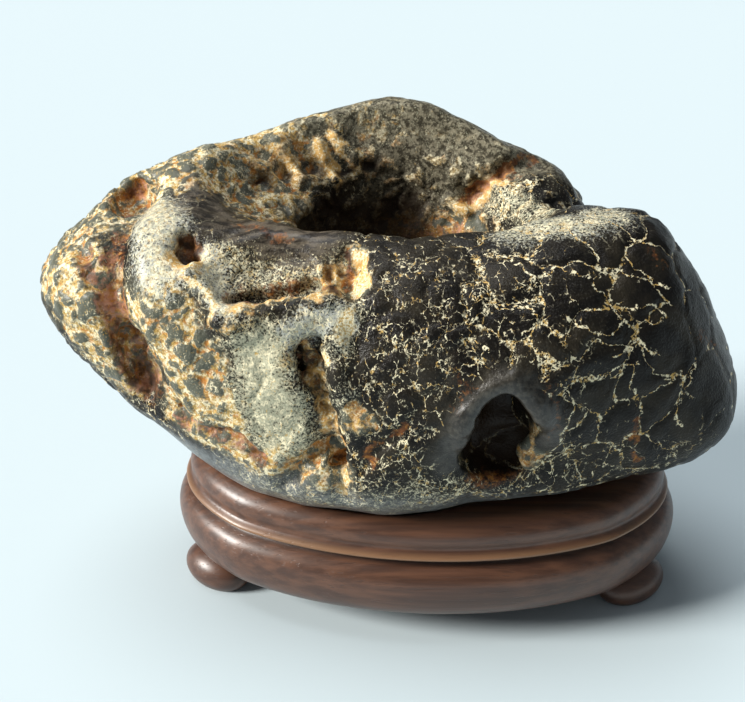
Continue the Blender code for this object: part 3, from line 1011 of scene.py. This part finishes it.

# %% [markdown]
# The body runs from black to olive with a grey grain, and is greener under the
# crust.  Polished edges are silvery where dust has not dulled them, partly a painted
# sheen; the rim slopes inwards in brown wrinkles, the underside is slate grey with
# a painted reflection of the pale table, and the worn back is softly mottled.

# %% Stone finish: the body
body = lay(step(broad[0], 0.38, 0.68), BLACK, OLIVE)
body = lay(times(step(dust[1], 0.52, 0.70, 0.0, 0.35), zones["flecked"]), body, GREY)
body = lay(frayed(zones["crusted"], middling[0], 0.8, 0.5, 0.35), body, MOSS)
# Painted sheen: silvery grey on the polished edges where dust has not dulled them.
polish_and_sheen_laid = times(step(zones["polish_and_sheen"], 0.15, 0.7), frayed(zones["polish_and_sheen"], dust[0], 2.6, 0.60, 0.14))
body = lay(times(polish_and_sheen_laid, step(fine[2], 0.40, 0.56, 0.35, 0.95)), body, SILVER_POLISH_AND_SHEEN)
body = lay(times(zones["polished"], step(fine[0], 0.40, 0.60, 0.1, 0.5)), body, GREY)
wrinkles = clouds(1.1, 3.0, stretched(where, (0.35, 1.0, 1.0)))
inner_slope = lay(step(wrinkles[0], 0.40, 0.60), SLOPE_DARK, SLOPE_PALE)
body = lay(times(zones["sloped"], 0.9), body, inner_slope)
# The underside's slate grey is partly a painted reflection of the pale table.
body = lay(times(zones["rubbed"], step(fine[1], 0.40, 0.60, 0.3, 0.8)), body, SLATE_AND_REFLECTION)
worn_back = lay(step(fine[0], 0.42, 0.60), WORN_DARK, WORN_PALE)
body = lay(times(zones["mottled"], 0.85), body, worn_back)
print("body:", len(tree.nodes), "nodes so far")

# %% [markdown]
# The lace is used at three sizes: a net, flecks and specks.  The smaller two, with
# a pale dust, speckle the flat faces.

# %% Stone finish: lace and speckled faces
tall = stretched(where, (1.0, 1.0, 0.7))
net = lace_over(tall, Cell=2.3, Width=0.085, Wander=2.2, Broken=0.46)
flecks = lace_over(tall, Cell=1.15, Width=0.08, Wander=1.6, Broken=0.50)
specks = lace_over(tall, Cell=0.62, Width=0.055, Wander=0.8, Broken=0.54)
speck = frayed(zones["speckled"], dust[1], 2.6, 0.86, 0.22)
speck = larger(speck, times(larger(specks, flecks), step(zones["speckled"], 0.35, 0.8)))
speck = times(speck, step(middling[0], 0.36, 0.54, 0.3, 1.0))
speck = times(speck, step(zones["mottled"], 0.0, 1.0, 1.0, 0.35))
pale_skin = times(frayed(zones["speckled"], dust[0], 1.9, 0.80, 0.16), 0.85)
dusty = lay(step(fine[1], 0.46, 0.58), lay(zones["golden"], SAGE, GOLD), CREAM)
colour = lay(speck, lay(pale_skin, body, LICHEN), dusty)
print("with its speckles:", len(tree.nodes), "nodes so far")

# %% [markdown]
# The crust fills the valleys between the nodules with cream and gold, and with
# ochre in its depth; some of its cream specks are painted glints.  The same mineral
# lies pale on the crests of the basin's knobs, partly as a painted highlight.

# %% Stone finish: crust and knobs
matrix = frayed(less(1.0, zones["nodule_gap"]), fine[0], 0.9, 0.79, 0.11)
crumbs = frayed(zones["crusted"], dust[2], 1.6, 1.21, 0.10)
crust = times(larger(matrix, crumbs), frayed(zones["crusted"], middling[1], 1.4, 0.48, 0.18))
warm = lay(step(fine[1], 0.44, 0.58), OCHRE, AMBER)
tint = lay(step(fine[2], 0.44, 0.60), GOLD, CREAM)
tint = lay(step(broad[1], 0.54, 0.66, 0.0, 0.6), tint, OCHRE)
tint = lay(times(zones["golden"], 0.8), tint, warm)
tint = lay(step(dust[0], 0.35, 0.46, 0.55, 0.0), tint, OLIVE)
# Cream specks in the crust, partly painted glints.
tint = lay(step(dust[0], 0.58, 0.68, 0.0, 0.9), tint, CREAM)
tint = lay(frayed(zones["dents"], fine[1], 0.9, 0.66, 0.12), tint, OCHRE)
colour = lay(crust, colour, tint)
# Pale crests on the basin's knobs, partly a painted highlight.
crest_mineral_and_highlight = frayed(zones["knob"], fine[2], 1.8, 0.96, 0.25)
crest_mineral_and_highlight = times(times(crest_mineral_and_highlight, zones["basin"]), step(middling[0], 0.38, 0.54, 0.15, 1.0))
colour = lay(crest_mineral_and_highlight, colour, tint)
print("with its crust:", len(tree.nodes), "nodes so far")

# %% [markdown]
# Fine cream flecks crowd along the furrows between the lumps, and a veil of the
# net lies over the polished boss.  Veins, now thick and now thin, run in the
# furrows, and the long drawn ones cross them.  The edges that stand out are almost
# white with mineral and a painted highlight, or amber where the stone is golden.

# %% Stone finish: flecks, veins and edges
crowd = sum_of("ADD", zones["flecked"], step(zones["furrow_gap"], 0.06, 0.50, 0.0, -0.42))
fleck = times(larger(flecks, specks), frayed(crowd, middling[2], 2.6, 0.74, 0.2))
open_skin = times(less(1.0, zones["crusted"]), less(1.0, larger(zones["basin"], zones["sloped"])))
net_here = frayed(zones["flecked"], middling[1], 1.8, 0.70, 0.15)
net_here = times(net_here, step(dust[2], 0.42, 0.50))
fleck = larger(fleck, times(times(net, net_here), open_skin))
fleck = times(fleck, step(zones["mottled"], 0.0, 1.0, 1.0, 0.3))
colour = lay(fleck, colour, lay(step(fine[1], 0.38, 0.52), GOLD, CREAM))
colour = lay(times(times(net, zones["polish_and_sheen"]), 0.85), colour, CREAM)

swell = times(zones["meeting"], step(fine[1], 0.44, 0.62, 0.0, 0.50))
swell = sum_of("ADD", swell, step(middling[1], 0.44, 0.66, 0.05, 0.20))
present = frayed(zones["netted"], middling[2], 2.4, 0.62, 0.15)
veins = times(fine_line(zones["furrow_line"], zones["furrow_gap"], swell, fine[2]), present)
swell = step(fine[0], 0.46, 0.66, 0.10, 0.48)
veins = larger(veins, fine_line(zones["vein_line"], zones["vein_gap"], swell, fine[1]))
veins = times(times(veins, less(1.0, zones["crusted"])), step(dust[2], 0.40, 0.50))
colour = lay(veins, colour, lay(step(fine[0], 0.42, 0.56), GOLD, CREAM))

# Almost white edges: mineral, partly a painted highlight.
edge = frayed(zones["edge_mineral_and_highlight"], fine[0], 1.2, 0.55, 0.2)
pale = lay(step(dust[1], 0.40, 0.54), GOLD, CREAM)
gilt = lay(step(dust[1], 0.44, 0.58), AMBER, CREAM)
gilt = lay(step(fine[1], 0.42, 0.58), AMBER, gilt)
colour = lay(times(edge, 0.9), colour, lay(zones["golden"], pale, gilt))
print("with its veins:", len(tree.nodes), "nodes so far")

# %% [markdown]
# Last come rust where water stood, and painted shade in the skin's hollows, the narrow holes, the cave
# and the deep basin.
# Crust, specks and rust are dull; polished parts, nodules and the underside shine.

# %% Stone finish: rust, holes and shine
rust = frayed(zones["rust"], fine[2], 1.5, 0.62, 0.25)
rusty = lay(step(middling[0], 0.38, 0.56), RUST, lay(zones["crusted"], BRICK, ROSE))
rusty = lay(step(fine[0], 0.50, 0.62, 0.0, 0.9), rusty, OCHRE)
colour = lay(times(rust, 0.88), colour, rusty)
# Painted shade in the hollows of the skin, where it lies below its smoothed surroundings.
hollow_shade = frayed(zones["dents"], fine[0], 0.5, 0.88, 0.10)
colour = lay(times(hollow_shade, step(rust, 0.0, 1.0, 0.85, 0.35)), colour, PAINTED_SHADE_UMBER)
# Painted shade in the holes, the cave and the deep basin.
colour = lay(times(zones["deep"], 0.90), colour, PAINTED_SHADE_UMBER)
dull = larger(larger(crust, speck), larger(rust, zones["basin"]))
sheen = larger(larger(zones["polished"], times(zones["polish_and_sheen"], 0.6)), zones["rubbed"])
sheen = larger(sheen, times(less(zones["crusted"], crust), 0.55))
bump = add("Bump", {"Height": dust[1], "Distance": 0.00015, "Strength": 1.0})
fill(shader, {
    "Base Color": colour,
    "Specular IOR Level": 0.15,
    "Roughness": step(dull, 0.0, 1.0, 0.32, 0.55),
    "Coat Weight": step(sheen, 0.2, 1.0, 0.0, 0.6),
    "Coat Roughness": 0.30,
    "Normal": bump.outputs[0],
})
stone.data.materials.append(stone_finish)
print("stone finish:", len(tree.nodes), "nodes")

# %% [markdown]
# ### The wood's finish
#
# The hardwood is reddish brown with its grain along the length, darker low down,
# with painted shade in the groove, worn pale on the bead with a painted highlight
# along it, and oiled to a satin shine.

# %% Wood finish
BEAD_HEIGHT = 18.4
GROOVE_HEIGHT = 17.1
WOOD_DARK = (0.054, 0.020, 0.009, 1.0)
WOOD_PALE = (0.128, 0.053, 0.026, 1.0)
PORE = (0.02, 0.008, 0.005, 1.0)
BEAD_WEAR_AND_HIGHLIGHT = (0.32, 0.17, 0.08, 1.0)
GROOVE_SHADE = (0.015, 0.006, 0.004, 1.0)
LOW_WOOD = (0.05, 0.020, 0.012, 1.0)

wood_finish, tree, shader = new_finish("oiled_hardwood")
where = in_millimetres()
grainwise = stretched(where, (0.03, 1.0, 1.0))
streaks = cloud(grainwise, 1.4, 4.0)[0]
wood = lay(step(streaks, 0.32, 0.68), WOOD_DARK, WOOD_PALE)
pores = step(cloud(grainwise, 0.35, 2.0, 0.5)[0], 0.60, 0.72)
wood = lay(times(pores, 0.5), wood, PORE)
level = add("SeparateXYZ", {0: where}).outputs[2]
# The bead is worn pale, partly a painted highlight along it.
bead_wear_and_highlight = sum_of("ADD", from_level(level, BEAD_HEIGHT), times(streaks, 0.8))
wood = lay(step(bead_wear_and_highlight, 0.4, 1.3, 0.6, 0.0), wood, BEAD_WEAR_AND_HIGHLIGHT)
# Painted shade in the groove below the bead.
wood = lay(step(from_level(level, GROOVE_HEIGHT), 0.3, 0.9, 0.7, 0.0), wood, GROOVE_SHADE)
wood = lay(step(level, 8.0, 16.0, 0.35, 0.0), wood, LOW_WOOD)
bump = add("Bump", {"Height": less(streaks, pores), "Distance": 0.0001, "Strength": 0.4})
fill(shader, {
    "Base Color": wood,
    "Roughness": 0.40,
    "Coat Weight": 0.35,
    "Coat Roughness": 0.34,
    "Normal": bump.outputs[0],
})
stand.data.materials.append(wood_finish)
pick(stand)
bpy.ops.object.shade_smooth_by_angle(angle=math.radians(35))
print("wood finish:", len(tree.nodes), "nodes")

# %% [markdown]
# ## Table and light
#
# A plain pale table carries the stand.  It is only a stage, no part of the piece.

# %% Table
TABLE_COLOUR = (0.545, 0.635, 0.67, 1.0)

bpy.ops.object.select_all(action="DESELECT")
bpy.ops.mesh.primitive_plane_add(size=8.0, location=(0, 0, 0))
table = bpy.context.object
table.name = "table"
cloth, tree, shader = new_finish("pale_cloth")
fill(shader, {"Base Color": TABLE_COLOUR, "Roughness": 0.9})
table.data.materials.append(cloth)
print("table:", table.name)

# %% [markdown]
# A large soft light stands to the left, as a window would.  A second, softer one
# hangs above and a little behind, and a pale sky fills the shadows.

# %% Lights
SKY_COLOUR = (0.86, 0.93, 1.0, 1.0)
SKY_STRENGTH = 0.185


def soft_sun(name, side, strength, softness, colour):
    """A soft light from far away, on the side that the direction points to."""
    data = bpy.data.lights.new(name, "SUN")
    data.energy = strength
    data.angle = math.radians(softness)
    data.color = colour
    lamp = bpy.data.objects.new(name, data)
    lamp.rotation_euler = (-Vector(side)).to_track_quat("-Z", "Y").to_euler()
    bpy.context.scene.collection.objects.link(lamp)


soft_sun("window", (-0.87, -0.20, 0.45), strength=5.6, softness=18, colour=(1.0, 0.97, 0.92))
soft_sun("sky_behind", (-0.20, 0.17, 0.97), strength=1.8, softness=42, colour=(0.95, 0.98, 1.0))
sky = bpy.data.worlds.new("sky")
sky.use_nodes = True
fill(sky.node_tree.nodes["Background"], {"Color": SKY_COLOUR, "Strength": SKY_STRENGTH})
bpy.context.scene.world = sky
bpy.context.scene.view_settings.view_transform = "Standard"
print("lights: window, sky_behind and the sky")
